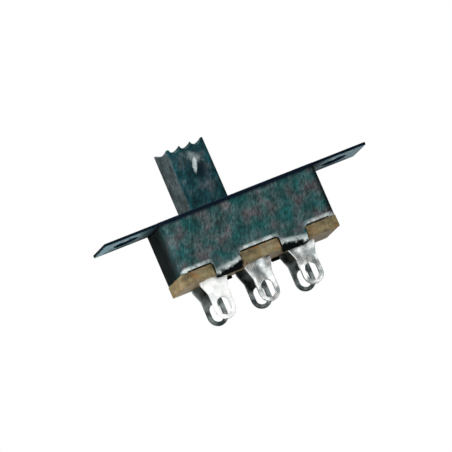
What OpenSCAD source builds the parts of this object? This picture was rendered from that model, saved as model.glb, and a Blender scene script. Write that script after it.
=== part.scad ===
// Miniature panel-mounted slide switch with two poles and two positions.
// The origin is the middle of the flange's upper face, +Z points out through the panel
// and +X along the slide. The knob stands at the -X end of its travel.

/* [Flange] */
// Length of the flange over both ears
flange_l = 23.8; // [23:0.1:27]
// Width of the flange over the can, and of the can
flange_w = 5.5; // [5.3:0.1:6.2]
// How far the ears' long edges are set back from the can's side walls
ear_inset = 0.45; // [0.2:0.05:0.6]
// Thickness of the steel sheet
sheet_t = 0.25; // [0.2:0.05:0.35]
// How far a mounting hole sits outwards of the middle of its ear
hole_shift = 0.025; // [-0.3:0.025:0.3]
// Diameter of a mounting hole
hole_d = 2.2; // [1.8:0.1:2.6]
// Radius of the ears' corners
ear_corner_r = 0.15; // [0.1:0.05:0.8]

/* [Can] */
// Length of the can over its end walls
can_l = 14.1; // [13.8:0.1:14.5]
// Depth from the flange's upper face to the edge that the board seats on
can_h = 4.7; // [4.3:0.05:5.5]
// Outer radius of the can's upright corners
can_corner_r = 0.6; // [0.4:0.1:0.9]
// Outer radius of the fold between flange and side walls
fold_r = 0.4; // [0.36:0.02:0.5]
// Gap of the seam where the end flaps meet, and above their upper edges
seam_gap = 0.12; // [0.06:0.02:0.2]

/* [Clinch tabs] */
// Width of a clinch tab
tab_w = 2.3; // [1.8:0.1:2.6]
// Distance between the middles of the two tabs on one side
tab_spacing = 6; // [5.6:0.1:6.4]
// Outer radius of a tab's curl round the board's lower edge
tab_curl_r = 0.8; // [0.6:0.05:0.85]
// Length of the straight lip past the curl
tab_lip = 0.12; // [0.05:0.01:0.15]
// Radius in the corners where a tab leaves the wall
tab_root_r = 0.4; // [0.1:0.05:0.5]
// How far the wall's edge between the tabs is cut back above the board
recess_h = 0.1; // [0.05:0.05:0.3]

/* [Terminal board] */
// Thickness of the board
board_t = 1; // [0.8:0.1:1.4]
// How far the board stands out past each end wall
board_overhang = 0; // [-0.1:0.05:0.3]

/* [Terminals] */
// Distance between neighbouring terminals in a row
lug_pitch = 4; // [3.7:0.1:4.2]
// Distance from the can's outer face to the middle of a row
row_inset = 1.25; // [1.15:0.05:1.35]
// Thickness of the terminal strip
lug_t = 0.3; // [0.2:0.05:0.35]
// How far the middle terminals sit off the can's middle, along the slide
row_shift = -0.4; // [-0.5:0.05:0.5]
// Length of a lug below the board
lug_l = 3.6; // [3:0.1:5]
// Width of a lug from its taper to its round end
lug_w = 1.75; // [1.5:0.05:2]
// Width of the shoulders that stop a lug against the board
shoulder_w = 2.4; // [2.1:0.1:2.6]
// Height of the shoulders
shoulder_h = 0.3; // [0.2:0.1:0.6]
// Length over which the shoulders taper to the lug's width
taper_l = 0.9; // [0.4:0.1:1.2]
// Width of the wire hole
wire_hole_w = 1; // [0.7:0.1:1.1]
// Length of the wire hole
wire_hole_l = 1.5; // [1.2:0.1:1.8]
// Metal left below the wire hole
wire_hole_rim = 0.35; // [0.25:0.05:0.5]
// Width of the neck that passes through the board
neck_w = 1.5; // [1.2:0.1:1.7]
// Length of the contact pad along the row
pad_l = 1.8; // [1.7:0.1:2]
// Gap between the contact pads of the two rows
pad_row_gap = 0.9; // [0.7:0.05:1.1]

/* [Slider] */
// Height of the knob above the flange, at its front face
knob_h = 5.3; // [3:0.1:8]
// How far the knob's top rises from its front face to its rear face
knob_rise = 0.4; // [0:0.05:0.6]
// Depth of the finger dish across the knob's top
dish_depth = 0.25; // [0.05:0.05:0.4]
// Flat rim between the dish and the knob's front and rear faces
dish_rim = 0.1; // [0.05:0.05:0.5]
// Width of the knob at its top, along the slide
knob_w = 3.3; // [2.9:0.05:3.4]
// Width of the knob where it leaves the flange
knob_base_w = 3.45; // [3.4:0.05:3.7]
// Distance from the flange's long edges to the knob's faces
knob_inset = 0.65; // [0.6:0.05:1]
// Radius of the knob's upright edges
knob_corner_r = 0.3; // [0.1:0.05:0.6]
// Number of finger grooves in the knob's top
groove_count = 3; // [2:1:3]
// Distance between neighbouring grooves
groove_pitch = 0.98; // [0.94:0.02:1.02]
// Depth of a groove
groove_depth = 0.42; // [0.3:0.01:0.44]
// Radius of a groove
groove_r = 0.46; // [0.44:0.01:0.46]
// Travel past the terminal pitch
overtravel = 0.5; // [0:0.05:0.5]

/* [Contacts] */
// Thickness of the contact strip
contact_t = 0.2; // [0.12:0.02:0.25]
// Width of a contact
contact_w = 1.1; // [0.9:0.05:1.15]
// Outer radius of the two contact bumps
bump_r = 0.6; // [0.5:0.05:0.7]
// Diameter of the dimple that centres the spring
dimple_d = 0.5; // [0.3:0.05:0.55]
// Height of that dimple
dimple_h = 0.2; // [0.1:0.05:0.4]

/* [Springs] */
// Outer diameter of a spring
spring_d = 1; // [0.9:0.05:1.05]
// Diameter of the spring wire
wire_d = 0.16; // [0.1:0.02:0.18]
// Height of a fitted spring
spring_h = 1.9; // [1.6:0.1:2.6]
// Number of turns
spring_turns = 6; // [5:1:7]

/* [Clearances] */
// Gap between the slider and the can's side and end walls
wall_gap = 0.1; // [0.06:0.02:0.16]
// Gap between the carriage and the flange's lower face
glide_gap = 0.08; // [0.04:0.02:0.14]
// Gap around the knob in its slot
slot_gap = 0.15; // [0.1:0.05:0.25]
// Gap around the terminal necks in the board
neck_gap = 0.03; // [0.02:0.01:0.06]
// Gap between the board's long edges and the side walls
board_gap = 0.03; // [0.02:0.01:0.06]
// Gap between a tab and the end faces of its notch in the board
notch_gap = 0.12; // [0.06:0.02:0.2]
// Gap between a tab's curl and the floor of its notch
curl_gap = 0.02; // [0.01:0.01:0.05]
// Gap between a contact bump and the pad below it
contact_gap = 0.03; // [0.02:0.01:0.05]
// Gap between the carriage and the pads
carriage_lift = 0.15; // [0.1:0.05:0.25]
// Room around and above a contact in its pocket
pocket_gap = 0.1; // [0.06:0.02:0.14]

/* [Hidden] */
$fn = 48;

// One overrun for all cuts and overlaps
over = 0.2;

// Sides of the rows and ends: the front row faces -Y
front = -1;
rear = 1;
left = -1;
middle = 0;
right = 1;

// Levels
seat_z = -can_h;
recess_z = seat_z + recess_h;
board_z = seat_z - board_t;
pad_z = seat_z + lug_t;
lug_tip_z = board_z - lug_l;
carriage_top_z = -sheet_t - glide_gap;
carriage_z = pad_z + carriage_lift;

// Flange and can. The holes lie about midway between the end walls and the ears' ends.
hole_spacing = (flange_l + can_l) / 2 + 2 * hole_shift;
room_l = can_l - 2 * sheet_t;
room_w = flange_w - 2 * sheet_t;
room_corner_r = can_corner_r - sheet_t;
room_fold_r = fold_r - sheet_t;

// Board
board_l = can_l + 2 * board_overhang;
board_w = room_w - 2 * board_gap;
notch_l = tab_w + 2 * notch_gap;
notch_floor_y = flange_w / 2 - tab_curl_r - curl_gap;

// Terminals
row_spacing = flange_w - 2 * row_inset;
pad_reach = (row_spacing + lug_t - pad_row_gap) / 2;

// Slider
knob_d = flange_w - 2 * knob_inset;
knob_top_z = knob_h + knob_rise;
travel = lug_pitch + overtravel;
slider_x = -travel / 2;
slot_l = knob_base_w + travel + 2 * slot_gap;
slot_w = knob_d + 2 * slot_gap;
carriage_l = room_l - travel - 2 * wall_gap;
carriage_w = room_w - 2 * wall_gap;
carriage_h = carriage_top_z - carriage_z;

// Contacts. A bump is an arc of the strip that wraps this far to each side of its lowest line.
bump_wrap = 60;
bump_axis_z = pad_z + contact_gap + bump_r;
bar_z = bump_axis_z - bump_r * cos(bump_wrap);
bar_top_z = bar_z + contact_t;
bump_half_l = bump_r * sin(bump_wrap);
contact_l = lug_pitch + 2 * bump_half_l;
track_y = row_spacing / 2 + lug_t / 2 - pad_reach / 2;
pocket_l = contact_l + 2 * pocket_gap;
pocket_w = contact_w + 2 * pocket_gap;
pocket_top_z = bar_top_z + pocket_gap;
spring_bore_d = spring_d + 2 * pocket_gap;
spring_top_z = bar_top_z + spring_h;

// Cored recesses that keep the walls of the moulding even, in whole steps of length
core_wall = 0.5;
core_corner_r = 0.2;
core_step = 0.01;
core_l = floor(((carriage_l - pocket_l) / 2 - 2 * core_wall) / core_step) * core_step;
core_w = carriage_w - 2 * core_wall;
core_h_share = 0.6;

// Springs. The end turns lie almost closed.
spring_r = (spring_d - wire_d) / 2;
closed_turns = 1;
closed_pitch_share = 1.2;
spring_steps = 14;
wire_sides = 6;

// Rectangle with round corners, centred
module round_rect(l, w, r) {
    square([l - 2 * r, w], center = true);
    square([l, w - 2 * r], center = true);
    for (x = [-1, 1], y = [-1, 1])
        translate([x * (l / 2 - r), y * (w / 2 - r)]) circle(r);
}

// Upright bar of a plan outline, between two levels
module upright(z0, z1) {
    translate([0, 0, z0]) linear_extrude(z1 - z0) children();
}

// Bar along X of an outline drawn in Y and Z
module along_x(l) {
    rotate([90, 0, 90]) linear_extrude(l, center = true) children();
}

// Bar along Y of an outline drawn in X and Z
module along_y(w) {
    rotate([90, 0, 0]) linear_extrude(w, center = true) children();
}

// Box-shaped form with round upright corners and round upper long edges
module folded_block(l, w, top_z, bottom_z, corner_r, edge_r) {
    intersection() {
        upright(bottom_z, top_z) round_rect(l, w, corner_r);
        along_x(l + over) union() {
            translate([-w / 2, bottom_z - over]) square([w, top_z - edge_r - bottom_z + over]);
            translate([edge_r - w / 2, bottom_z - over]) square([w - 2 * edge_r, top_z - bottom_z + over]);
            for (y = [-1, 1])
                translate([y * (w / 2 - edge_r), top_z - edge_r]) circle(edge_r);
        }
    }
}

// Both ears, from the can's corners outwards
module ears() {
    ear_start = can_l / 2 - can_corner_r;
    difference() {
        upright(-sheet_t, 0) round_rect(flange_l, flange_w - 2 * ear_inset, ear_corner_r);
        translate([-ear_start, -flange_w / 2 - over, -sheet_t - over])
            cube([2 * ear_start, flange_w + 2 * over, sheet_t + 2 * over]);
    }
}

// Clinch tab at the middle of the +Y wall: down past the board, then curled in under it to a short lip
module clinch_tab() {
    outer_y = flange_w / 2;
    curl_y = outer_y - tab_curl_r;
    curl_z = board_z - sheet_t + tab_curl_r;
    along_x(tab_w) union() {
        translate([outer_y - sheet_t, curl_z]) square([sheet_t, recess_z + over - curl_z]);
        translate([curl_y, curl_z]) intersection() {
            difference() {
                circle(tab_curl_r);
                circle(tab_curl_r - sheet_t);
            }
            translate([0, -tab_curl_r]) square(tab_curl_r);
        }
        translate([curl_y - tab_lip, board_z - sheet_t]) square([tab_lip, sheet_t]);
    }
    translate([0, outer_y - sheet_t / 2, 0]) along_y(sheet_t) difference() {
        translate([-tab_w / 2 - tab_root_r, recess_z - tab_root_r])
            square([tab_w + 2 * tab_root_r, tab_root_r + over]);
        for (x = [-1, 1])
            translate([x * (tab_w / 2 + tab_root_r), recess_z - tab_root_r]) circle(tab_root_r);
    }
}

// Steel sheet folded to flange, can and clinch tabs
module frame() {
    color("#3b474c") difference() {
        union() {
            ears();
            difference() {
                folded_block(can_l, flange_w, 0, seat_z, can_corner_r, fold_r);
                folded_block(room_l, room_w, -sheet_t, seat_z - over, room_corner_r, room_fold_r);
                upright(seat_z - over, recess_z)
                    square([can_l - 2 * can_corner_r, flange_w + 2 * over], center = true);
            }
            for (x = [-1, 1], side = [0, 180])
                translate([x * tab_spacing / 2, 0, 0]) rotate([0, 0, side]) clinch_tab();
        }
        upright(-sheet_t - over, over) round_rect(slot_l, slot_w, knob_corner_r);
        for (x = [-1, 1])
            translate([x * hole_spacing / 2, 0, -sheet_t - over])
                cylinder(d = hole_d, h = sheet_t + 2 * over);
        for (x = [-1, 1])
            translate([x * (can_l - sheet_t) / 2, 0, 0]) end_seam();
    }
}

// Cut that parts the two flaps of an end wall from each other and from the ear above
module end_seam() {
    cut_l = sheet_t + over;
    flap_w = flange_w - 2 * can_corner_r;
    translate([-cut_l / 2, -flap_w / 2, -sheet_t - seam_gap]) cube([cut_l, flap_w, seam_gap]);
    translate([-cut_l / 2, -seam_gap / 2, seat_z - over])
        cube([cut_l, seam_gap, can_h + over - sheet_t]);
}

// Outline of the knob in X and Z: straight in the slot and drafted above
module knob_outline() {
    knob_root_z = carriage_top_z - over;
    polygon([
        [-knob_base_w / 2, knob_root_z], [knob_base_w / 2, knob_root_z], [knob_base_w / 2, 0],
        [knob_w / 2, knob_top_z], [-knob_w / 2, knob_top_z], [-knob_base_w / 2, 0]
    ]);
}

// Cut that shapes the knob's top: a plane that rises to the rear, with finger grooves and a dish
module knob_top() {
    top_l = norm([knob_d, knob_rise]);
    cut_w = knob_base_w + 2 * over;
    cut_l = top_l + 2 * over;
    dish_l = top_l - 2 * dish_rim;
    dish_r = pow(dish_l, 2) / (8 * dish_depth) + dish_depth / 2;
    translate([0, 0, knob_h + knob_rise / 2]) rotate([atan2(knob_rise, knob_d), 0, 0]) {
        translate([-cut_w / 2, -cut_l / 2, 0]) cube([cut_w, cut_l, knob_rise + over]);
        for (i = [0 : groove_count - 1])
            translate([(i - (groove_count - 1) / 2) * groove_pitch, 0, groove_r - groove_depth])
                rotate([90, 0, 0]) cylinder(r = groove_r, h = cut_l, center = true);
        translate([0, 0, dish_r - dish_depth]) rotate([0, 90, 0])
            cylinder(r = dish_r, h = cut_w, center = true);
    }
}

// Knob and carriage, moulded as one piece
module slider() {
    color("#20262a") translate([slider_x, 0, 0]) difference() {
        union() {
            intersection() {
                along_y(knob_d) knob_outline();
                upright(carriage_z, knob_top_z + over) round_rect(knob_base_w, knob_d, knob_corner_r);
            }
            upright(carriage_z, carriage_top_z) round_rect(carriage_l, carriage_w, room_corner_r);
        }
        knob_top();
        for (side = [front, rear]) {
            translate([-pocket_l / 2, side * track_y - pocket_w / 2, carriage_z - over])
                cube([pocket_l, pocket_w, pocket_top_z - carriage_z + over]);
            translate([0, side * track_y, carriage_z])
                cylinder(d = spring_bore_d, h = spring_top_z - carriage_z);
        }
        for (x = [-1, 1])
            translate([x * (pocket_l / 2 + core_wall + core_l / 2), 0, 0])
                upright(carriage_z - over, carriage_z + core_h_share * carriage_h)
                    round_rect(core_l, core_w, core_corner_r);
    }
}

// Punched board, notched for the clinch tabs and slotted for the terminal necks
module terminal_board() {
    color("#8a6a3a") difference() {
        translate([-board_l / 2, -board_w / 2, board_z]) cube([board_l, board_w, board_t]);
        for (x = [-1, 1], y = [-1, 1])
            translate([x * tab_spacing / 2, y * (notch_floor_y + flange_w / 2), 0])
                upright(board_z - over, seat_z + over) square([notch_l, flange_w], center = true);
        for (i = [left, middle, right], side = [front, rear])
            translate([row_shift + i * lug_pitch, side * row_spacing / 2, 0])
                upright(board_z - over, seat_z + over)
                    square([neck_w + 2 * neck_gap, lug_t + 2 * neck_gap], center = true);
    }
}

// Outline of a terminal in X and Z: neck, shoulders, and a tongue with a round end and a wire hole
module lug_outline() {
    end_r = lug_w / 2;
    end_z = lug_tip_z + end_r;
    half_w = shoulder_w / 2;
    taper_z = board_z - shoulder_h - taper_l;
    hole_r = wire_hole_w / 2;
    hole_low_z = lug_tip_z + wire_hole_rim + hole_r;
    hole_high_z = lug_tip_z + wire_hole_rim + wire_hole_l - hole_r;
    difference() {
        union() {
            translate([-neck_w / 2, board_z - over]) square([neck_w, board_t + over]);
            polygon([
                [-half_w, board_z], [-half_w, board_z - shoulder_h], [-end_r, taper_z], [-end_r, end_z],
                [end_r, end_z], [end_r, taper_z], [half_w, board_z - shoulder_h], [half_w, board_z]
            ]);
            translate([0, end_z]) circle(end_r);
        }
        translate([0, hole_low_z]) circle(hole_r);
        translate([0, hole_high_z]) circle(hole_r);
        translate([-hole_r, hole_low_z]) square([wire_hole_w, hole_high_z - hole_low_z]);
    }
}

// Terminal of the +Y row at X = 0: the lug, and the pad folded over onto the board
module lug() {
    outer_y = (row_spacing + lug_t) / 2;
    translate([0, row_spacing / 2, 0]) along_y(lug_t) lug_outline();
    along_x(neck_w) union() {
        translate([outer_y - pad_reach, seat_z]) square([pad_reach - lug_t, lug_t]);
        translate([outer_y - lug_t, seat_z]) intersection() {
            circle(lug_t);
            square(lug_t);
        }
        translate([outer_y - lug_t, seat_z - over]) square([lug_t, over]);
    }
    translate([-pad_l / 2, outer_y - pad_reach, seat_z]) cube([pad_l, pad_reach - 2 * lug_t, lug_t]);
}

// One terminal at its place in a row
module terminal(place, side) {
    color("#c9cbc8") translate([row_shift + place * lug_pitch, 0, 0])
        rotate([0, 0, side == rear ? 0 : 180]) lug();
}

// Bridging contact: a strip with two rolled bumps and a dimple for its spring
module contact(side) {
    wedge = bump_r * 2 / cos(bump_wrap);
    color("#b8894a") translate([slider_x, side * track_y, 0]) {
        along_y(contact_w) union() {
            translate([-lug_pitch / 2 + bump_half_l - contact_t, bar_z])
                square([lug_pitch - 2 * bump_half_l + 2 * contact_t, contact_t]);
            for (x = [-1, 1])
                translate([x * lug_pitch / 2, bump_axis_z]) intersection() {
                    difference() {
                        circle(bump_r);
                        circle(bump_r - contact_t);
                    }
                    polygon([
                        [0, 0],
                        [-wedge * sin(bump_wrap), -wedge * cos(bump_wrap)],
                        [wedge * sin(bump_wrap), -wedge * cos(bump_wrap)]
                    ]);
                }
        }
        translate([0, 0, bar_z]) cylinder(d = dimple_d, h = contact_t + dimple_h);
    }
}

// Height of the wire's middle after a number of turns, with almost closed end turns
function wire_z(turn) =
    let (
        closed_pitch = wire_d * closed_pitch_share,
        open_turns = spring_turns - 2 * closed_turns,
        open_pitch = (spring_h - wire_d - 2 * closed_turns * closed_pitch) / open_turns,
        low = min(turn, closed_turns),
        mid = min(max(turn - closed_turns, 0), open_turns),
        high = max(turn - closed_turns - open_turns, 0)
    )
    wire_d / 2 + (low + high) * closed_pitch + mid * open_pitch;

// Coil spring swept along its helix
module spring(side) {
    rings = spring_turns * spring_steps;
    points = [
        for (i = [0 : rings], j = [0 : wire_sides - 1])
            let (
                turn = i / spring_steps,
                around = j * 360 / wire_sides,
                reach = spring_r + wire_d / 2 * cos(around)
            )
            [reach * cos(turn * 360), reach * sin(turn * 360), wire_z(turn) + wire_d / 2 * sin(around)]
    ];
    sides = [
        for (i = [0 : rings - 1], j = [0 : wire_sides - 1])
            let (next = (j + 1) % wire_sides)
            [
                i * wire_sides + j, i * wire_sides + next,
                (i + 1) * wire_sides + next, (i + 1) * wire_sides + j
            ]
    ];
    first_end = [for (j = [wire_sides - 1 : -1 : 0]) j];
    last_end = [for (j = [0 : wire_sides - 1]) rings * wire_sides + j];
    color("#a9adb0") translate([slider_x, side * track_y, bar_top_z])
        polyhedron(points, concat(sides, [first_end, last_end]));
}

frame();
slider();
terminal_board();
terminal(left, front);  // terminal_front_left
terminal(middle, front);  // terminal_front_common
terminal(right, front);  // terminal_front_right
terminal(left, rear);  // terminal_rear_left
terminal(middle, rear);  // terminal_rear_common
terminal(right, rear);  // terminal_rear_right
contact(front);  // contact_front
contact(rear);  // contact_rear
spring(front);  // spring_front
spring(rear);  // spring_rear
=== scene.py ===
"""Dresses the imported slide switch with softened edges, real finishes, a studio and a camera.

Every mesh is worked in millimetres and written in metres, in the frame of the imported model: the origin is the
middle of the flange's upper face, +Z points out through the panel and +X along the slide.
"""

import logging
import math
from dataclasses import dataclass
from enum import Enum
from typing import Any, Callable, NamedTuple

import bmesh
import bpy
from mathutils import Matrix, Vector


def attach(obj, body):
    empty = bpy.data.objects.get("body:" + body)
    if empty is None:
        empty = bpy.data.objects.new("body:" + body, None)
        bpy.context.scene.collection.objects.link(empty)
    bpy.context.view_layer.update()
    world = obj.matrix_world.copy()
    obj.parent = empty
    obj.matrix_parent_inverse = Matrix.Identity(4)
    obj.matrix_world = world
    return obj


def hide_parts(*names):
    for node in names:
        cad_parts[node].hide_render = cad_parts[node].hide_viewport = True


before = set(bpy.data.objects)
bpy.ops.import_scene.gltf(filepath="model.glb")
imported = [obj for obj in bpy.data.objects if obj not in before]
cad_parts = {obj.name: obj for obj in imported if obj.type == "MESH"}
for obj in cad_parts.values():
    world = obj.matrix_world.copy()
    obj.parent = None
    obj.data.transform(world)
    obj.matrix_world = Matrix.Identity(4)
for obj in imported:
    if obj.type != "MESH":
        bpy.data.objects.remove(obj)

MM = 0.001
LOG = logging.getLogger("slide_switch")

Triple = tuple[float, float, float]
Tree = bpy.types.NodeTree
Socket = bpy.types.NodeSocket


class Body(str, Enum):
    """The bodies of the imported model."""

    CASE = "case"
    SLIDE = "slide"


class Slot(str, Enum):
    """The record's material slots."""

    FRAME = "frame_steel"
    SLIDER = "slider_plastic"
    BOARD = "phenolic_board"
    LUG = "plated_brass"


class Row(str, Enum):
    """The two circuits: the near row of terminals and the far one."""

    FRONT = "front"
    REAR = "rear"


class Place(str, Enum):
    """A terminal's place in its row."""

    LEFT = "left"
    COMMON = "common"
    RIGHT = "right"


def linear(hex_colour: str) -> tuple[float, float, float, float]:
    """Turns an sRGB hex colour into linear light.

    Args:
        hex_colour: The colour as "#rrggbb".

    Returns:
        Red, green, blue and an alpha of one.
    """
    parts = [int(hex_colour[i:i + 2], 16) / 255 for i in (1, 3, 5)]
    light = [c / 12.92 if c <= 0.04045 else ((c + 0.055) / 1.055) ** 2.4 for c in parts]
    return (light[0], light[1], light[2], 1.0)


def add_node(
    tree: Tree,
    kind: str,
    settings: dict[Any, Any] | None = None,
    links: dict[Any, Socket] | None = None,
    stops: tuple[tuple[float, str], ...] = (),
) -> bpy.types.NodeOutputs:
    """Adds one node with its settings and links.

    Args:
        tree: The node tree that gets the node.
        kind: The node's type name, without "ShaderNode".
        settings: Values of its properties, or of its inputs, by name or number.
        links: The sockets that feed its inputs, by name or number.
        stops: The places and colours of a colour ramp, in order.

    Returns:
        The new node's outputs.
    """
    node = tree.nodes.new("ShaderNode" + kind)
    for key, value in (settings or {}).items():
        if isinstance(key, str) and hasattr(node, key):
            setattr(node, key, value)
        else:
            node.inputs[key].default_value = value
    for key, socket in (links or {}).items():
        tree.links.new(socket, node.inputs[key])
    if stops:
        ramp = node.color_ramp.elements
        for place, _ in stops[1:-1]:
            ramp.new(place)
        for stop, (place, colour) in zip(ramp, stops):
            stop.position = place
            stop.color = linear(colour)
    return node.outputs


class Grain(NamedTuple):
    """A cloudy pattern: the size of its blotches, how many finer layers it has and how strong they are."""

    size_mm: float
    detail: float = 2.0
    roughness: float = 0.5

    def settings(self) -> dict[str, float]:
        """The pattern as the settings of a noise."""
        return {"Scale": 1 / (self.size_mm * MM), "Detail": self.detail, "Roughness": self.roughness}


class Fade(NamedTuple):
    """A change from a low value at one place to a high one at another. The places may run either way."""

    start: float
    end: float
    low: float = 0.0
    high: float = 1.0

    def settings(self, unit: float = 1.0) -> dict[str, float]:
        """The change as the settings of a range, with its places counted in a unit such as MM."""
        return {"From Min": self.start * unit, "From Max": self.end * unit,
                "To Min": self.low, "To Max": self.high}


class Axes(NamedTuple):
    """A point's coordinates in metres, and how far it lies from the switch's middle along the slide."""

    x: Socket
    y: Socket
    z: Socket
    off_middle: Socket


class Mottled(NamedTuple):
    """What a mottling gives: its colour, its blotches, its streaks and the coordinates that these run along."""

    tone: Socket
    patch: Socket
    streak: Socket
    drawn: Socket


@dataclass(frozen=True)
class Mottling:
    """Blotches of three tints, crossed by slanting streaks and by flecks.

    Real streaks and flecks are finer, and these are drawn as coarse as they need to show.
    """

    tints: tuple[str, str, str]
    stops: Triple
    patch: Grain
    stretch: Triple
    slant_deg: float = 24.0
    streak: Grain = Grain(0.5, 5, 0.74)
    streak_shade: Fade = Fade(0.34, 0.66, 0.4, 1.6)
    fleck: Grain = Grain(0.16, 2, 0.6)
    fleck_shade: Fade = Fade(0.34, 0.66, 0.55, 1.45)

    def draw(self, tree: Tree, place: Socket, stains: tuple[tuple[str, Socket], ...]) -> Mottled:
        """Draws the mottling.

        Args:
            tree: The material's node tree.
            place: Object coordinates, in metres.
            stains: Colours that cover the tints but not the streaks, each with its mask; the callers pass painted
                light and painted shade.

        Returns:
            The colour and the patterns it is made of.
        """
        patch = add_node(tree, "TexNoise", self.patch.settings(), {"Vector": place})["Fac"]
        tone = add_node(tree, "ValToRGB", None, {"Fac": patch}, tuple(zip(self.stops, self.tints)))["Color"]
        for colour, mask in stains:
            tone = add_node(tree, "MixRGB", {"Color2": linear(colour)}, {"Fac": mask, "Color1": tone})[0]
        drawn = add_node(tree, "Mapping", {
            "vector_type": "TEXTURE", "Rotation": (0, math.radians(self.slant_deg), 0), "Scale": self.stretch,
        }, {"Vector": place})[0]
        streak = add_node(tree, "TexNoise", self.streak.settings(), {"Vector": drawn})["Fac"]
        fleck = add_node(tree, "TexNoise", self.fleck.settings(), {"Vector": drawn})["Fac"]
        for pattern, fade in ((streak, self.streak_shade), (fleck, self.fleck_shade)):
            shade = add_node(tree, "MapRange", fade.settings(), {"Value": pattern})[0]
            tone = add_node(tree, "VectorMath", {"operation": "SCALE"}, {0: tone, "Scale": shade})[0]
        return Mottled(tone, patch, streak, drawn)


@dataclass(frozen=True)
class Spot:
    """An oval mark on a face: its middle, its half widths, its turn about Y and how it fades outwards."""

    at_mm: Triple
    half_mm: Triple
    turn_deg: float
    fade: Fade

    def reach(self, tree: Tree, place: Socket) -> Socket:
        """Measures how far a point lies from the mark's middle.

        Args:
            tree: The material's node tree.
            place: Object coordinates, in metres.

        Returns:
            The distance, which is 1 at the mark's half widths.
        """
        local = add_node(tree, "Mapping", {
            "vector_type": "TEXTURE", "Location": Vector(self.at_mm) * MM,
            "Rotation": (0, math.radians(self.turn_deg), 0), "Scale": Vector(self.half_mm) * MM,
        }, {"Vector": place})[0]
        return add_node(tree, "VectorMath", {"operation": "LENGTH"}, {0: local})["Value"]


@dataclass(frozen=True)
class Finish:
    """A surface finish. Each kind draws its own nodes."""

    name: str = "finish"
    metallic: float = 0.0
    specular: float = 0.5

    def material(self) -> bpy.types.Material:
        """Makes the material and lets the finish draw its nodes.

        Returns:
            The finished material, or the one made before under this name.
        """
        made = bpy.data.materials.get(self.name)
        if made:
            return made
        made = bpy.data.materials.new(self.name)
        made.use_nodes = True
        tree = made.node_tree
        skin = tree.nodes["Principled BSDF"]
        skin.inputs["Metallic"].default_value = self.metallic
        skin.inputs["Specular IOR Level"].default_value = self.specular
        place = add_node(tree, "TexCoord")["Object"]
        for name, socket in self.draw(tree, place).items():
            tree.links.new(socket, skin.inputs[name])
        return made

    def draw(self, tree: Tree, place: Socket) -> dict[str, Socket]:
        """Draws the finish's nodes.

        Args:
            tree: The material's node tree.
            place: Object coordinates, in metres.

        Returns:
            What feeds the shader, by the names of its inputs.
        """
        raise NotImplementedError


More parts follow.
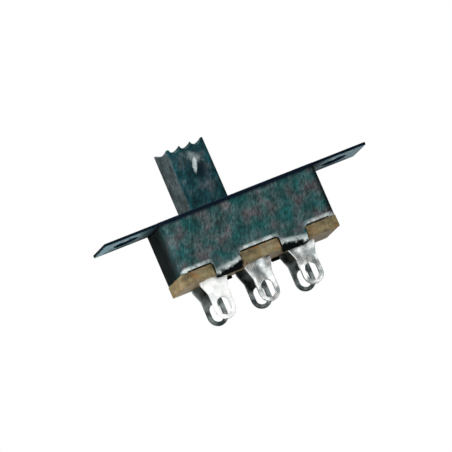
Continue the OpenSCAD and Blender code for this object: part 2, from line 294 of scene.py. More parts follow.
@dataclass(frozen=True)
class BlackenedSteel(Finish):
    """Cold-rolled steel sheet, zinc plated and black passivated.

    The eye sees a dark satin skin that shifts between teal, slate and a trace of violet, with streaks and flecks
    that slant down the walls. Painted shade makes the fold along the flange nearly black and darkens the end
    walls, more towards the rear, and the right corner. Painted light makes the ears paler and bluer from below,
    with a painted shadow along their rear rim. The lower edges over the board beside the tabs and, skew and
    ragged, the tabs' bends take a pale colour that is part bare metal and part painted highlight, with painted
    shade below the bends.
    """

    name: str = "black_passivated_steel_sheet"
    specular: float = 0.07
    mottling: Mottling = Mottling(("#154344", "#374e4f", "#4f4f52"), (0.36, 0.52, 0.66), Grain(1.3, 3, 0.55),
                                  stretch=(1.0, 1.0, 2.2))
    # Colours: painted shade along the flange's fold, painted light on the ears' underside, painted shade, and a
    # pale colour that is part bare metal and part painted highlight.
    flange: str = "#030f1c"
    underside_light: str = "#466e7a"
    painted_shade: str = "#020707"
    bare: str = "#d6e0df"
    # Painted light on the ears' underside, paler towards the tips, and a painted shadow along its rear rim.
    ear_x_mm: Fade = Fade(6.85, 8.85)
    ear_below_z_mm: Fade = Fade(-0.22, -0.24)
    rim_x_mm: Fade = Fade(11.45, 10.05)
    rim_y_mm: Fade = Fade(0.4, 1.9, high=0.9)
    # Painted shade along the fold of the flange, weaker on the upper face.
    fold_z_mm: Fade = Fade(-0.58, -0.32)
    face_z_mm: Fade = Fade(-0.06, -0.01, 1.0, 0.35)
    # Painted shade on the end walls, darker towards the rear, and on the right corner.
    end_x_mm: Fade = Fade(6.75, 7.05)
    wall_z_mm: Fade = Fade(-0.25, -0.35)
    depth_y_mm: Fade = Fade(-2.3, -0.5, 0.6, 0.97)
    corner_x_mm: Fade = Fade(6.4, 6.8, high=0.85)
    # The lower edges on both sides of the tabs, part bare metal and part painted highlight.
    edge_z_mm: Fade = Fade(-4.26, -4.52)
    tab_x_mm: float = 3.0
    beside_tab_mm: Fade = Fade(1.1, 1.55)
    # The tabs' bends, part bare metal and part painted highlight, and the painted shade below them.
    ragged_glint: Grain = Grain(0.5, 4, 0.7)
    glint_patches: Fade = Fade(0.36, 0.62, 0.2, 1.0)
    ragged_mm: float = 0.4
    bend_z_mm: float = -5.37
    bend_skew: float = 0.16
    bend_reach_mm: Fade = Fade(0.32, 0.06)
    shade_below_bends_z_mm: Fade = Fade(-5.46, -5.64)
    # The gloss of the skin and of its painted shade, and the sheet's grain, drawn coarse enough to show.
    gloss: Fade = Fade(0.0, 1.0, 0.34, 0.5)
    matt: float = 0.95
    grain: Grain = Grain(0.07)
    grain_strength: float = 0.2
    grain_depth_mm: float = 0.02

    def draw(self, tree: Tree, place: Socket) -> dict[str, Socket]:
        """Draws the mottled skin, its painted light and shade, and its edges that are part bare metal and part
        painted highlight.

        Args:
            tree: The material's node tree.
            place: Object coordinates, in metres.

        Returns:
            What feeds the shader, by the names of its inputs.
        """
        x, y, z = add_node(tree, "SeparateXYZ", None, {0: place})
        at = Axes(x, y, z, add_node(tree, "Math", {"operation": "ABSOLUTE"}, {0: x})[0])
        underside_light, rim_shade = self.ears(tree, at)
        fold_shade = self.flange_fold(tree, at, underside_light)
        end, dull = self.end_walls(tree, at)
        worn, shade_below_bends = self.burnish_and_glint(tree, place, at, end)
        # The ears' underside takes painted light, and its rear rim painted shade, under the streaks.
        tone, _, streak, drawn = self.mottling.draw(tree, place, ((self.underside_light, underside_light), (self.painted_shade, rim_shade)))
        # Mixes in painted shade on the fold and the end walls, the pale colour that is part bare metal and part
        # painted highlight, and painted shade below the bends.
        for colour, mask in ((self.flange, fold_shade), (self.painted_shade, dull), (self.bare, worn), (self.painted_shade, shade_below_bends)):
            tone = add_node(tree, "MixRGB", {"Color2": linear(colour)}, {"Fac": mask, "Color1": tone})[0]
        matt = fold_shade
        for mask in (shade_below_bends, rim_shade):
            matt = add_node(tree, "Math", {"operation": "MAXIMUM"}, {0: matt, 1: mask})[0]
        gloss = add_node(tree, "MapRange", self.gloss.settings(), {"Value": streak})[0]
        gloss = add_node(tree, "MapRange", {"To Max": self.matt}, {"Value": matt, "To Min": gloss})[0]
        grain = add_node(tree, "TexNoise", self.grain.settings(), {"Vector": drawn})["Fac"]
        bump = add_node(tree, "Bump", {"Strength": self.grain_strength, "Distance": self.grain_depth_mm * MM},
                        {"Height": grain})[0]
        return {"Base Color": tone, "Roughness": gloss, "Normal": bump}

    def ears(self, tree: Tree, at: Axes) -> tuple[Socket, Socket]:
        """Masks the painted light on the ears' underside.

        Args:
            tree: The material's node tree.
            at: The point's coordinates.

        Returns:
            The masks of the painted light on the ears' underside and of the painted shadow along its rear rim.
        """
        outward = add_node(tree, "MapRange", self.ear_x_mm.settings(MM), {"Value": at.off_middle})[0]
        below = add_node(tree, "MapRange", self.ear_below_z_mm.settings(MM), {"Value": at.z})[0]
        underside_light = add_node(tree, "Math", {"operation": "MULTIPLY"}, {0: outward, 1: below})[0]
        inward = add_node(tree, "MapRange", self.rim_x_mm.settings(MM), {"Value": at.off_middle})[0]
        rear = add_node(tree, "MapRange", self.rim_y_mm.settings(MM), {"Value": at.y})[0]
        rim_shade = add_node(tree, "Math", {"operation": "MULTIPLY"}, {0: inward, 1: rear})[0]
        return underside_light, add_node(tree, "Math", {"operation": "MULTIPLY"}, {0: underside_light, 1: rim_shade})[0]

    def flange_fold(self, tree: Tree, at: Axes, underside_light: Socket) -> Socket:
        """Masks the painted shade along the fold of the flange.

        Args:
            tree: The material's node tree.
            at: The point's coordinates.
            underside_light: The mask of the painted light on the ears' underside, which the painted shade leaves
                out.

        Returns:
            The mask, which is weaker on the flange's upper face.
        """
        fold = add_node(tree, "MapRange", self.fold_z_mm.settings(MM), {"Value": at.z})[0]
        face = add_node(tree, "MapRange", self.face_z_mm.settings(MM), {"Value": at.z})[0]
        fold_shade = add_node(tree, "Math", {"operation": "MULTIPLY"}, {0: fold, 1: face})[0]
        return add_node(tree, "Math", {"operation": "SUBTRACT", "use_clamp": True}, {0: fold_shade, 1: underside_light})[0]

    def end_walls(self, tree: Tree, at: Axes) -> tuple[Socket, Socket]:
        """Masks the can's end walls.

        Args:
            tree: The material's node tree.
            at: The point's coordinates.

        Returns:
            The masks of the end walls and of the painted shade on them and on the right corner.
        """
        wall = add_node(tree, "MapRange", self.wall_z_mm.settings(MM), {"Value": at.z})[0]
        end = add_node(tree, "MapRange", self.end_x_mm.settings(MM), {"Value": at.off_middle})[0]
        end = add_node(tree, "Math", {"operation": "MULTIPLY"}, {0: end, 1: wall})[0]
        # Painted shade on the end walls, darker towards the rear, and on the right corner.
        depth = add_node(tree, "MapRange", self.depth_y_mm.settings(MM), {"Value": at.y})[0]
        dull = add_node(tree, "Math", {"operation": "MULTIPLY"}, {0: end, 1: depth})[0]
        corner = add_node(tree, "MapRange", self.corner_x_mm.settings(MM), {"Value": at.x})[0]
        corner = add_node(tree, "Math", {"operation": "MULTIPLY"}, {0: corner, 1: wall})[0]
        return end, add_node(tree, "Math", {"operation": "MAXIMUM"}, {0: dull, 1: corner})[0]

    def burnish_and_glint(self, tree: Tree, place: Socket, at: Axes, end: Socket) -> tuple[Socket, Socket]:
        """Masks a pale colour that is part bare metal and part painted highlight, on the lower edges beside the
        tabs and on the tabs' bends.

        Args:
            tree: The material's node tree.
            place: Object coordinates, in metres.
            at: The point's coordinates.
            end: The mask of the end walls, which get no pale edges.

        Returns:
            The masks of the pale colour, part bare metal and part painted highlight, and of the painted shade
            below the bends.
        """
        along_tab = add_node(tree, "Math", {"operation": "SUBTRACT", 1: self.tab_x_mm * MM},
                             {0: at.off_middle})[0]
        off_tab = add_node(tree, "Math", {"operation": "ABSOLUTE"}, {0: along_tab})[0]
        # Pale edges beside the tabs and on the skew, ragged bends: part bare metal, part painted highlight.
        beside = add_node(tree, "MapRange", self.beside_tab_mm.settings(MM), {"Value": off_tab})[0]
        edge = add_node(tree, "MapRange", self.edge_z_mm.settings(MM), {"Value": at.z})[0]
        edge = add_node(tree, "Math", {"operation": "MULTIPLY"}, {0: edge, 1: beside})[0]
        edge = add_node(tree, "Math", {"operation": "SUBTRACT", "use_clamp": True}, {0: edge, 1: end})[0]
        ragged_glint = add_node(tree, "TexNoise", self.ragged_glint.settings(), {"Vector": place})["Fac"]
        ragged = add_node(tree, "MapRange", {"To Min": -self.ragged_mm * MM, "To Max": self.ragged_mm * MM},
                          {"Value": ragged_glint})[0]
        ragged = add_node(tree, "Math", {"operation": "ADD"}, {0: at.z, 1: ragged})[0]
        down_tab = add_node(tree, "Math", {"operation": "MULTIPLY_ADD", 1: self.bend_skew},
                            {0: along_tab, 2: ragged})[0]
        off_bend = add_node(tree, "Math", {"operation": "SUBTRACT", 1: self.bend_z_mm * MM}, {0: down_tab})[0]
        off_bend = add_node(tree, "Math", {"operation": "ABSOLUTE"}, {0: off_bend})[0]
        bend = add_node(tree, "MapRange", self.bend_reach_mm.settings(MM), {"Value": off_bend})[0]
        highlit = add_node(tree, "Math", {"operation": "MAXIMUM"}, {0: edge, 1: bend})[0]
        patchy = add_node(tree, "MapRange", self.glint_patches.settings(), {"Value": ragged_glint})[0]
        worn = add_node(tree, "Math", {"operation": "MULTIPLY"}, {0: highlit, 1: patchy})[0]
        # Painted shade below the bends.
        return worn, add_node(tree, "MapRange", self.shade_below_bends_z_mm.settings(MM), {"Value": down_tab})[0]


@dataclass(frozen=True)
class MouldedPlastic(Finish):
    """Black nylon, injection moulded.

    The eye sees a dark blue-green half-gloss with flow clouds, slanting tool marks and flecks, and painted light
    that makes the left flank paler. The front face has a painted dark reflection, and on it a broad faint painted
    highlight and a narrow pale one, both ragged.
    """

    name: str = "moulded_black_nylon"
    specular: float = 0.06
    mottling: Mottling = Mottling(("#042d32", "#173c42", "#3b464b"), (0.36, 0.5, 0.66), Grain(1.1, 3, 0.55),
                                  stretch=(1.0, 2.2, 2.2))
    # Colours: painted light on the left flank, a painted dark reflection and a painted highlight.
    side: str = "#3d4243"
    dark_reflection: str = "#00141d"
    highlit: str = "#dcebed"
    lit_flank: Fade = Fade(-0.6, -0.95, high=0.75)
    # A painted dark reflection on the front face, and painted highlights on it.
    reflection_spot: Spot = Spot((-2.0, -2.1, 3.0), (1.15, 0.5, 1.4), 0.0, Fade(1.0, 0.3, high=0.9))
    highlight_spots: tuple[Spot, ...] = (
        Spot((-2.05, -2.1, 4.1), (0.42, 0.4, 0.95), -50.0, Fade(0.2, -0.45, high=0.22)),
        Spot((-2.1, -2.1, 3.55), (0.21, 0.4, 0.74), 14.0, Fade(0.2, -0.45, high=0.72)),
    )
    ragged: float = -1.8
    streaky: Fade = Fade(0.3, 0.6)
    gloss: Fade = Fade(0.0, 1.0, 0.26, 0.46)
    mark_strength: float = 0.2
    mark_depth_mm: float = 0.02

    def draw(self, tree: Tree, place: Socket) -> dict[str, Socket]:
        """Draws the mottled skin, the painted light on the left flank, the painted dark reflection and the
        painted highlights.

        Args:
            tree: The material's node tree.
            place: Object coordinates, in metres.

        Returns:
            What feeds the shader, by the names of its inputs.
        """
        # The left flank is painted paler, as if lit from the left.
        normal = add_node(tree, "NewGeometry")["Normal"]
        facing = add_node(tree, "SeparateXYZ", None, {0: normal})[0]
        lit_flank = add_node(tree, "MapRange", self.lit_flank.settings(), {"Value": facing})[0]
        tone, cloud, mark, _ = self.mottling.draw(tree, place, ((self.side, lit_flank),))
        # A painted dark reflection on the front face.
        reach = self.reflection_spot.reach(tree, place)
        dark_reflection = add_node(tree, "MapRange", self.reflection_spot.fade.settings(), {"Value": reach})[0]
        tone = add_node(tree, "MixRGB", {"Color2": linear(self.dark_reflection)}, {"Fac": dark_reflection, "Color1": tone})[0]
        # Ragged painted highlights on the front face.
        streaky = add_node(tree, "MapRange", self.streaky.settings(), {"Value": mark})[0]
        for spot in self.highlight_spots:
            reach = spot.reach(tree, place)
            reach = add_node(tree, "Math", {"operation": "MULTIPLY_ADD", 1: self.ragged}, {0: mark, 2: reach})[0]
            ragged_glint = add_node(tree, "MapRange", spot.fade.settings(), {"Value": reach})[0]
            worn = add_node(tree, "Math", {"operation": "MULTIPLY"}, {0: ragged_glint, 1: streaky})[0]
            tone = add_node(tree, "MixRGB", {"Color2": linear(self.highlit)}, {"Fac": worn, "Color1": tone})[0]
        gloss = add_node(tree, "MapRange", self.gloss.settings(), {"Value": cloud})[0]
        bump = add_node(tree, "Bump", {"Strength": self.mark_strength, "Distance": self.mark_depth_mm * MM},
                        {"Height": mark})[0]
        return {"Base Color": tone, "Roughness": gloss, "Normal": bump}


@dataclass(frozen=True)
class PaperPhenolic(Finish):
    """Paper-phenolic laminate, punched.

    The eye sees an olive tan, matt and mottled by the paper's fibres, with rusty stains where the resin is thick
    and layers along the punched edges. Real layers are about 0.15 mm, and these are drawn coarser so that they
    show.
    """

    name: str = "punched_paper_phenolic"
    specular: float = 0.3
    tints: tuple[str, str, str] = ("#4c4028", "#7c6f4d", "#9a9174")
    stops: Triple = (0.32, 0.5, 0.68)
    mottle: Grain = Grain(0.7, 6, 0.68)
    rusty: str = "#94602a"
    stain: Grain = Grain(0.9, 3)
    stain_swirl: float = 0.6
    stain_shows: Fade = Fade(0.51, 0.68, high=0.75)
    layer_mm: float = 0.63166
    # A wave pattern runs through 20 radians in one unit, and a layer is one full turn.
    layer_turn: float = math.tau / 20
    layer_waver: float = 3.0
    layer_shade: Fade = Fade(0.0, 1.0, 0.86, 1.08)
    gloss: Fade = Fade(0.0, 1.0, 0.45, 0.7)
    fibre_strength: float = 0.25
    fibre_depth_mm: float = 0.02

    def draw(self, tree: Tree, place: Socket) -> dict[str, Socket]:
        """Draws the mottling, the stains and the paper layers.

        Args:
            tree: The material's node tree.
            place: Object coordinates, in metres.

        Returns:
            What feeds the shader, by the names of its inputs.
        """
        mottle = add_node(tree, "TexNoise", self.mottle.settings(), {"Vector": place})["Fac"]
        tone = add_node(tree, "ValToRGB", None, {"Fac": mottle}, tuple(zip(self.stops, self.tints)))["Color"]
        stain = add_node(tree, "TexNoise", {**self.stain.settings(), "Distortion": self.stain_swirl},
                         {"Vector": place})["Fac"]
        stained = add_node(tree, "MapRange", self.stain_shows.settings(), {"Value": stain})[0]
        tone = add_node(tree, "MixRGB", {"Color2": linear(self.rusty)}, {"Fac": stained, "Color1": tone})[0]
        layer = add_node(tree, "TexWave", {
            "bands_direction": "Z", "Scale": self.layer_turn / (self.layer_mm * MM),
            "Distortion": self.layer_waver}, {"Vector": place})["Fac"]
        shade = add_node(tree, "MapRange", self.layer_shade.settings(), {"Value": layer})[0]
        tone = add_node(tree, "VectorMath", {"operation": "SCALE"}, {0: tone, "Scale": shade})[0]
        gloss = add_node(tree, "MapRange", self.gloss.settings(), {"Value": mottle})[0]
        bump = add_node(tree, "Bump", {"Strength": self.fibre_strength, "Distance": self.fibre_depth_mm * MM},
                        {"Height": mottle})[0]
        return {"Base Color": tone, "Roughness": gloss, "Normal": bump}


@dataclass(frozen=True)
class SilverPlate(Finish):
    """Brass strip, blanked and silver plated. Copies of it painted lighter and darker stand for light and shade.

    The eye sees a bright metal whose slightly wavy skin mixes white and grey reflections, with dull tarnish in
    patches, and gloss that changes along fine scratches, which are drawn coarse enough to show.
    """

    name: str = "silver_plated_brass"
    metallic: float = 1.0
    bright: str = "#e4e6e3"
    dull: str = "#979e9f"
    stops: tuple[float, float] = (0.38, 0.58)
    patch: Grain = Grain(0.9, 3, 0.55)
    scratch: Grain = Grain(0.1, 3)
    scratch_stretch: float = 0.15
    gloss: Fade = Fade(0.0, 1.0, 0.18, 0.32)
    wave: Grain = Grain(1.2, 0.5)
    wave_depth_mm: float = 0.2

    def draw(self, tree: Tree, place: Socket) -> dict[str, Socket]:
        """Draws the tarnish, the scratches and the waves.

        Args:
            tree: The material's node tree.
            place: Object coordinates, in metres.

        Returns:
            What feeds the shader, by the names of its inputs.
        """
        patch = add_node(tree, "TexNoise", self.patch.settings(), {"Vector": place})["Fac"]
        tone = add_node(tree, "ValToRGB", None, {"Fac": patch},
                        tuple(zip(self.stops, (self.dull, self.bright))))["Color"]
        drawn = add_node(tree, "Mapping", {"Scale": (1.0, 1.0, self.scratch_stretch)}, {"Vector": place})[0]
        scratch = add_node(tree, "TexNoise", self.scratch.settings(), {"Vector": drawn})["Fac"]
        gloss = add_node(tree, "MapRange", self.gloss.settings(), {"Value": scratch})[0]
        wave = add_node(tree, "TexNoise", self.wave.settings(), {"Vector": place})["Fac"]
        bump = add_node(tree, "Bump", {"Distance": self.wave_depth_mm * MM}, {"Height": wave})[0]
        return {"Base Color": tone, "Roughness": gloss, "Normal": bump}


@dataclass(frozen=True)
class RolledMetal(Finish):
    """Bronze strip, rolled, or steel wire, drawn. The eye sees bare metal with small clouds of duller skin."""

    name: str = "rolled_bronze_strip"
    metallic: float = 1.0
    bright: str = "#c99a5b"
    dull: str = "#8f6a3a"
    stops: tuple[float, float] = (0.35, 0.65)
    patch: Grain = Grain(0.3, 3)
    gloss: Fade = Fade(0.0, 1.0, 0.22, 0.42)

    def draw(self, tree: Tree, place: Socket) -> dict[str, Socket]:
        """Draws the clouds in the colour and in the gloss.

        Args:
            tree: The material's node tree.
            place: Object coordinates, in metres.

        Returns:
            What feeds the shader, by the names of its inputs.
        """
        cloud = add_node(tree, "TexNoise", self.patch.settings(), {"Vector": place})["Fac"]
        tone = add_node(tree, "ValToRGB", None, {"Fac": cloud},
                        tuple(zip(self.stops, (self.dull, self.bright))))["Color"]
        gloss = add_node(tree, "MapRange", self.gloss.settings(), {"Value": cloud})[0]
        return {"Base Color": tone, "Roughness": gloss}


class Blank:
    """A mesh under way, worked in millimetres so that the operators' tolerances suit its size."""

    MERGE_MM = 1e-4
    FLAT = math.radians(0.3)
    CREASE = math.radians(50)
    MOST_CORNERS = 4
    EVEN_PASSES = 4

    def __init__(self, node: str) -> None:
        """Starts from a merged copy of a CAD node, with its flat faces cut into even triangles.

        Long thin triangles run along the holes, and a rounded edge would cross them.

        Args:
            node: The CAD node to copy.
        """
        self.node = node
        self.mesh = bmesh.new()
        self.mesh.from_mesh(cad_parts[node].data)
        bmesh.ops.scale(self.mesh, vec=Vector((1, 1, 1)) / MM, verts=self.mesh.verts)
        bmesh.ops.remove_doubles(self.mesh, verts=self.mesh.verts, dist=self.MERGE_MM)
        bmesh.ops.dissolve_limit(self.mesh, angle_limit=self.FLAT, use_dissolve_boundaries=False,
                                 verts=self.mesh.verts, edges=self.mesh.edges, delimit={"NORMAL"})
        many_sided = [f for f in self.mesh.faces if len(f.verts) > self.MOST_CORNERS]
        bmesh.ops.triangulate(self.mesh, faces=many_sided, ngon_method="BEAUTY")
        for _ in range(self.EVEN_PASSES):
            flat = [e for e in self.mesh.edges if e.is_manifold and e.calc_face_angle(0.0) < self.FLAT]
            bmesh.ops.beautify_fill(self.mesh, faces=self.mesh.faces, edges=flat, method="ANGLE")

    def soften(
        self,
        width: float,
        sharper_than_deg: float = 30.0,
        spare: Callable[[Vector], bool] = lambda point: False,
        segments: int = 2,
    ) -> "Blank":
        """Rounds the sharp edges.

        Args:
            width: How far the rounding reaches into each face, in millimetres.
            sharper_than_deg: Edges that turn by more than this are rounded.
            spare: Says of a point whether edges between such points stay sharp.
            segments: Faces across the rounding.

        Returns:
            The same blank.
        """
        limit = math.radians(sharper_than_deg)
        sharp = [e for e in self.mesh.edges if e.is_manifold and e.calc_face_angle(0.0) > limit
                 and not all(spare(v.co) for v in e.verts)]
        bmesh.ops.bevel(self.mesh, geom=sharp, offset=width, offset_type="OFFSET", segments=segments, profile=0.5,
                        affect="EDGES", clamp_overlap=False, material=-1, face_strength_mode="ALL")
        return self

    def finish(self, name: str, body: Body, slot: Slot, finish: Finish) -> bpy.types.Object:
        """Writes the mesh in metres as a piece that stands for its CAD node.

        The normals that came with the copy don't fit the new faces, so they go.

        Args:
            name: The piece's name.
            body: The body that it rides on.
            slot: The record's material slot; not used.
            finish: Its finish.

        Returns:
            The new object.
        """
        bmesh.ops.scale(self.mesh, vec=Vector((1, 1, 1)) * MM, verts=self.mesh.verts)
        data = bpy.data.meshes.new(name)
        self.mesh.to_mesh(data)
        self.mesh.free()
        stale = data.attributes.get("custom_normal")
        if stale:
            data.attributes.remove(stale)
        data.shade_smooth()
        data.set_sharp_from_angle(angle=self.CREASE)
        data.materials.append(finish.material())
        piece = bpy.data.objects.new(name, data)
        bpy.context.scene.collection.objects.link(piece)
        flat = piece.modifiers.new("flat_faces_stay_flat", "WEIGHTED_NORMAL")
        flat.mode = "CORNER_ANGLE"
        flat.use_face_influence = True
        flat.keep_sharp = True
        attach(piece, body.value)
        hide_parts(self.node)
        LOG.info("%s stands for %s with %d faces", name, self.node, len(data.polygons))
        return piece


@dataclass(frozen=True)
class FoldedFrame:
    """The flange, the can and its clinch tabs, folded from one sheet."""

    edge_mm: float = 0.04
    corner_from_mm: Triple = (6.15, 1.9, -0.75)
    corner_to_x_mm: float = 7.15

    def at_corner(self, point: Vector) -> bool:
        """Says whether a point lies where an ear, a fold and an upright corner meet."""
        x, y, z = self.corner_from_mm
        return x < abs(point.x) < self.corner_to_x_mm and abs(point.y) > y and point.z > z

    def build(self) -> None:
        """Builds and dresses the frame."""
        Blank("frame").soften(self.edge_mm, spare=self.at_corner).finish(
            "frame_sheet", Body.CASE, Slot.FRAME, BlackenedSteel())


@dataclass(frozen=True)
class Slider:
    """The knob and its carriage."""

    edge_mm: float = 0.02
    crease_deg: float = 45.0
    inside_z_mm: float = -0.2

    def inside(self, point: Vector) -> bool:
        """Says whether a point lies below the flange, inside the can."""
        return point.z < self.inside_z_mm

    def build(self) -> None:
        """Builds and dresses the slider."""
        Blank("slider").soften(self.edge_mm, self.crease_deg, self.inside).finish(
            "slider_moulding", Body.SLIDE, Slot.SLIDER, MouldedPlastic())


@dataclass(frozen=True)
class TerminalBoard:
    """The punched board under the can."""

    edge_mm: float = 0.05

    def build(self) -> None:
        """Builds and dresses the board."""
        Blank("terminal_board").soften(self.edge_mm).finish(
            "board_punched", Body.CASE, Slot.BOARD, PaperPhenolic())


@dataclass(frozen=True)
class SolderLugs:
    """The six terminals. The front left one takes a copy of the plating painted lighter, as painted light, and
    the rear row one painted darker, as painted shade.
    """

    edge_mm: float = 0.06
    worn: SilverPlate = SilverPlate()
    # A copy of the plating painted lighter stands for painted light, and one painted darker for painted shade.
    lit_plating: SilverPlate = SilverPlate("silver_plated_brass_painted_light", bright="#f4f5f4", dull="#d8dbda",
                                     gloss=Fade(0.0, 1.0, 0.4, 0.6))
    shaded_plating: SilverPlate = SilverPlate("silver_plated_brass_painted_shade", bright="#858d8d", dull="#394143",
                                         gloss=Fade(0.0, 1.0, 0.2, 0.4))

    def plating(self, row: Row, place: Place) -> SilverPlate:
        """Chooses the plating of one terminal: painted light for the front left one, painted shade for the rear
        row.

        Args:
            row: The terminal's row.
            place: Its place in the row.

        Returns:
            The plating.
        """
        if row is Row.REAR:
            return self.shaded_plating
        return self.lit_plating if place is Place.LEFT else self.worn

    def build(self) -> None:
        """Builds and dresses the terminals."""
        for row in Row:
            for place in Place:
                Blank(f"terminal_{row.value}_{place.value}").soften(self.edge_mm).finish(
                    f"lug_{row.value}_{place.value}", Body.CASE, Slot.LUG, self.plating(row, place))


@dataclass(frozen=True)
class Contacts:
    """The bridging contacts and their springs, which keep their CAD shapes."""

    strip: RolledMetal = RolledMetal()
    wire: RolledMetal = RolledMetal("drawn_spring_wire", bright="#b9bcbf", dull="#84888c", patch=Grain(0.15, 3))

    def build(self) -> None:
        """Dresses the contacts and springs."""
        for row in Row:
            for node, finish in ((f"contact_{row.value}", self.strip), (f"spring_{row.value}", self.wire)):
                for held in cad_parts[node].material_slots:
                    held.material = finish.material()
                LOG.info("%s keeps its CAD shape", node)


@dataclass(frozen=True)
class Lamp:
    """A soft box, by its direction from the switch."""

    name: str
    toward: Triple
    reach_mm: float
    size_mm: float
    watts: float

    def build(self) -> None:
        """Hangs the lamp so that it faces the switch."""
        light = bpy.data.lights.new(self.name, "AREA")
        light.shape = "DISK"
        light.size = self.size_mm * MM
        light.energy = self.watts
        lamp = bpy.data.objects.new(self.name, light)
        bpy.context.scene.collection.objects.link(lamp)
        away = Vector(self.toward).normalized()
        lamp.location = away * self.reach_mm * MM
        lamp.rotation_euler = away.to_track_quat("Z", "Y").to_euler()


def put_on_stage(name: str, shape: bmesh.types.BMesh, made: bpy.types.Material) -> bpy.types.Object:
    """Writes a mesh as a thing of the studio, which isn't part of the switch.

    Args:
        name: The object's name.
        shape: Its mesh, in metres, which is freed.
        made: Its material.

    Returns:
        The new object.
    """
    data = bpy.data.meshes.new(name)
    shape.to_mesh(data)
    shape.free()
    data.materials.append(made)
    thing = bpy.data.objects.new(name, data)
    bpy.context.scene.collection.objects.link(thing)
    return thing


@dataclass(frozen=True)
class Flag:
    """A dark card that only reflections see, by its direction from the switch."""

    HALF_UNIT = 0.5

    name: str
    toward: Triple
    reach_mm: float
    size_mm: tuple[float, float]
    colour: str

    def build(self) -> None:
        """Stands the card so that it faces the switch."""
        away = Vector(self.toward).normalized()
        card = bmesh.new()
        bmesh.ops.create_grid(card, x_segments=1, y_segments=1, size=self.HALF_UNIT)
        bmesh.ops.scale(card, vec=Vector((*self.size_mm, 1)) * MM, verts=card.verts)
        bmesh.ops.rotate(card, matrix=away.to_track_quat("Z", "Y").to_matrix(), verts=card.verts)
        bmesh.ops.translate(card, vec=away * self.reach_mm * MM, verts=card.verts)
        made = bpy.data.materials.new(self.name)
        made.use_nodes = True
        tree = made.node_tree
        glow = add_node(tree, "Emission", {"Color": linear(self.colour)})[0]
        tree.links.new(glow, tree.nodes["Material Output"].inputs["Surface"])
        flag = put_on_stage(self.name, card, made)
        flag.visible_camera = flag.visible_diffuse = flag.visible_shadow = flag.visible_transmission = False


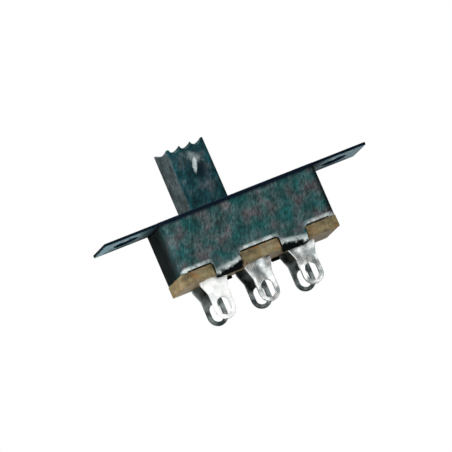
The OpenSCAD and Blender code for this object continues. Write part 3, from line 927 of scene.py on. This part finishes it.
@dataclass(frozen=True)
class Studio:
    """A pale floor under the lug tips, soft lamps, dark cards and a white surround.

    The camera looks up past the floor's edge, so the floor doesn't show from below.
    """

    floor_z_mm: float = -9.31
    floor_reach_mm: float = 900.0
    floor_sides: int = 96
    floor_colour: str = "#ececea"
    floor_roughness: float = 0.9
    floor_specular: float = 0.1
    surround_colour: str = "#ffffff"
    ambient: float = 0.2
    lamps: tuple[Lamp, ...] = (
        Lamp("key_upper_left", (-1.0, -0.35, 1.0), 260, 140, 0.95),
        Lamp("fill_front", (0.2, -1.0, 0.25), 300, 200, 0.15),
        Lamp("back_top", (0.3, 0.9, 1.0), 300, 200, 0.2),
    )
    flags: tuple[Flag, ...] = (
        Flag("flag_rear", (0.0, 1.0, 0.1), 300, (500, 300), "#0c1010"),
        Flag("flag_front", (0.4, -0.92, 0.112), 300, (130, 170), "#181c1c"),
        Flag("flag_overhead", (0.0, 0.0, 1.0), 250, (300, 300), "#0c1010"),
        Flag("flag_right", (1.0, 0.1, 0.1), 300, (300, 420), "#0c1010"),
    )

    def build(self) -> None:
        """Builds the floor, the surround, the lamps and the cards."""
        self.build_floor()
        self.build_world()
        for hung in (*self.lamps, *self.flags):
            hung.build()

    def build_floor(self) -> None:
        """Lays the floor. It is clear to the camera from its lower side alone."""
        disc = bmesh.new()
        bmesh.ops.create_circle(disc, cap_ends=True, segments=self.floor_sides, radius=self.floor_reach_mm * MM,
                                matrix=Matrix.Translation((0, 0, self.floor_z_mm * MM)))
        made = bpy.data.materials.new("pale_matt_floor")
        made.use_nodes = True
        tree = made.node_tree
        skin = tree.nodes["Principled BSDF"]
        skin.inputs["Base Color"].default_value = linear(self.floor_colour)
        skin.inputs["Roughness"].default_value = self.floor_roughness
        skin.inputs["Specular IOR Level"].default_value = self.floor_specular
        under = add_node(tree, "NewGeometry")["Backfacing"]
        seen = add_node(tree, "LightPath")["Is Camera Ray"]
        both = add_node(tree, "Math", {"operation": "MULTIPLY"}, {0: under, 1: seen})[0]
        clear = add_node(tree, "BsdfTransparent")[0]
        mix = add_node(tree, "MixShader", None, {0: both, 1: skin.outputs[0], 2: clear})[0]
        tree.links.new(mix, tree.nodes["Material Output"].inputs["Surface"])
        put_on_stage("floor", disc, made)

    def build_world(self) -> None:
        """Surrounds the switch with white for the eye and for reflections, and with dimmer light."""
        world = bpy.data.worlds.new("white_surround")
        bpy.context.scene.world = world
        world.use_nodes = True
        tree = world.node_tree
        path = add_node(tree, "LightPath")
        seen = path["Is Camera Ray"]
        for ray in ("Is Glossy Ray", "Is Transmission Ray"):
            seen = add_node(tree, "Math", {"operation": "MAXIMUM"}, {0: seen, 1: path[ray]})[0]
        level = add_node(tree, "MapRange", {"To Min": self.ambient}, {"Value": seen})[0]
        sky = tree.nodes["Background"]
        sky.inputs["Color"].default_value = linear(self.surround_colour)
        tree.links.new(level, sky.inputs["Strength"])


@dataclass(frozen=True)
class PhotoCamera:
    """The photograph's camera, solved from the flange, the can and the knob."""

    azimuth_deg: float = -16.06
    elevation_deg: float = -6.46
    roll_deg: float = 23.4
    distance_mm: float = 900.0
    px_per_mm: float = 12.236
    frame_px: float = 452.0
    origin_px: tuple[float, float] = (228.98, 198.64)
    sensor_mm: float = 36.0

    def build(self) -> None:
        """Places the camera so that the origin falls on its pixel, without any lens shift."""
        azimuth, elevation, roll = (
            math.radians(a) for a in (self.azimuth_deg, self.elevation_deg, self.roll_deg))
        back = Vector((math.sin(azimuth) * math.cos(elevation), -math.cos(azimuth) * math.cos(elevation),
                       math.sin(elevation)))
        level = Vector((math.cos(azimuth), math.sin(azimuth), 0))
        upright = back.cross(level)
        right = level * math.cos(roll) - upright * math.sin(roll)
        up = level * math.sin(roll) + upright * math.cos(roll)
        middle = self.frame_px / 2
        aim = (right * (middle - self.origin_px[0]) + up * (self.origin_px[1] - middle)) / self.px_per_mm
        lens = bpy.data.cameras.new("photo_camera")
        lens.sensor_width = self.sensor_mm
        lens.lens = self.sensor_mm * self.distance_mm * self.px_per_mm / self.frame_px
        camera = bpy.data.objects.new("photo_camera", lens)
        bpy.context.scene.collection.objects.link(camera)
        pose = Matrix((right, up, back)).transposed().to_4x4()
        pose.translation = (aim + back * self.distance_mm) * MM
        camera.matrix_world = pose
        bpy.context.scene.camera = camera


def main() -> None:
    """Builds the camera, the pieces and the studio in order."""
    logging.basicConfig(level=logging.INFO, format="%(name)s: %(message)s")
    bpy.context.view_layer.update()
    bpy.context.scene.view_settings.view_transform = "Standard"
    for part in (PhotoCamera(), FoldedFrame(), Slider(), TerminalBoard(), SolderLugs(), Contacts(), Studio()):
        part.build()
        LOG.info("built %s", type(part).__name__)


if __name__ == "__main__":
    main()
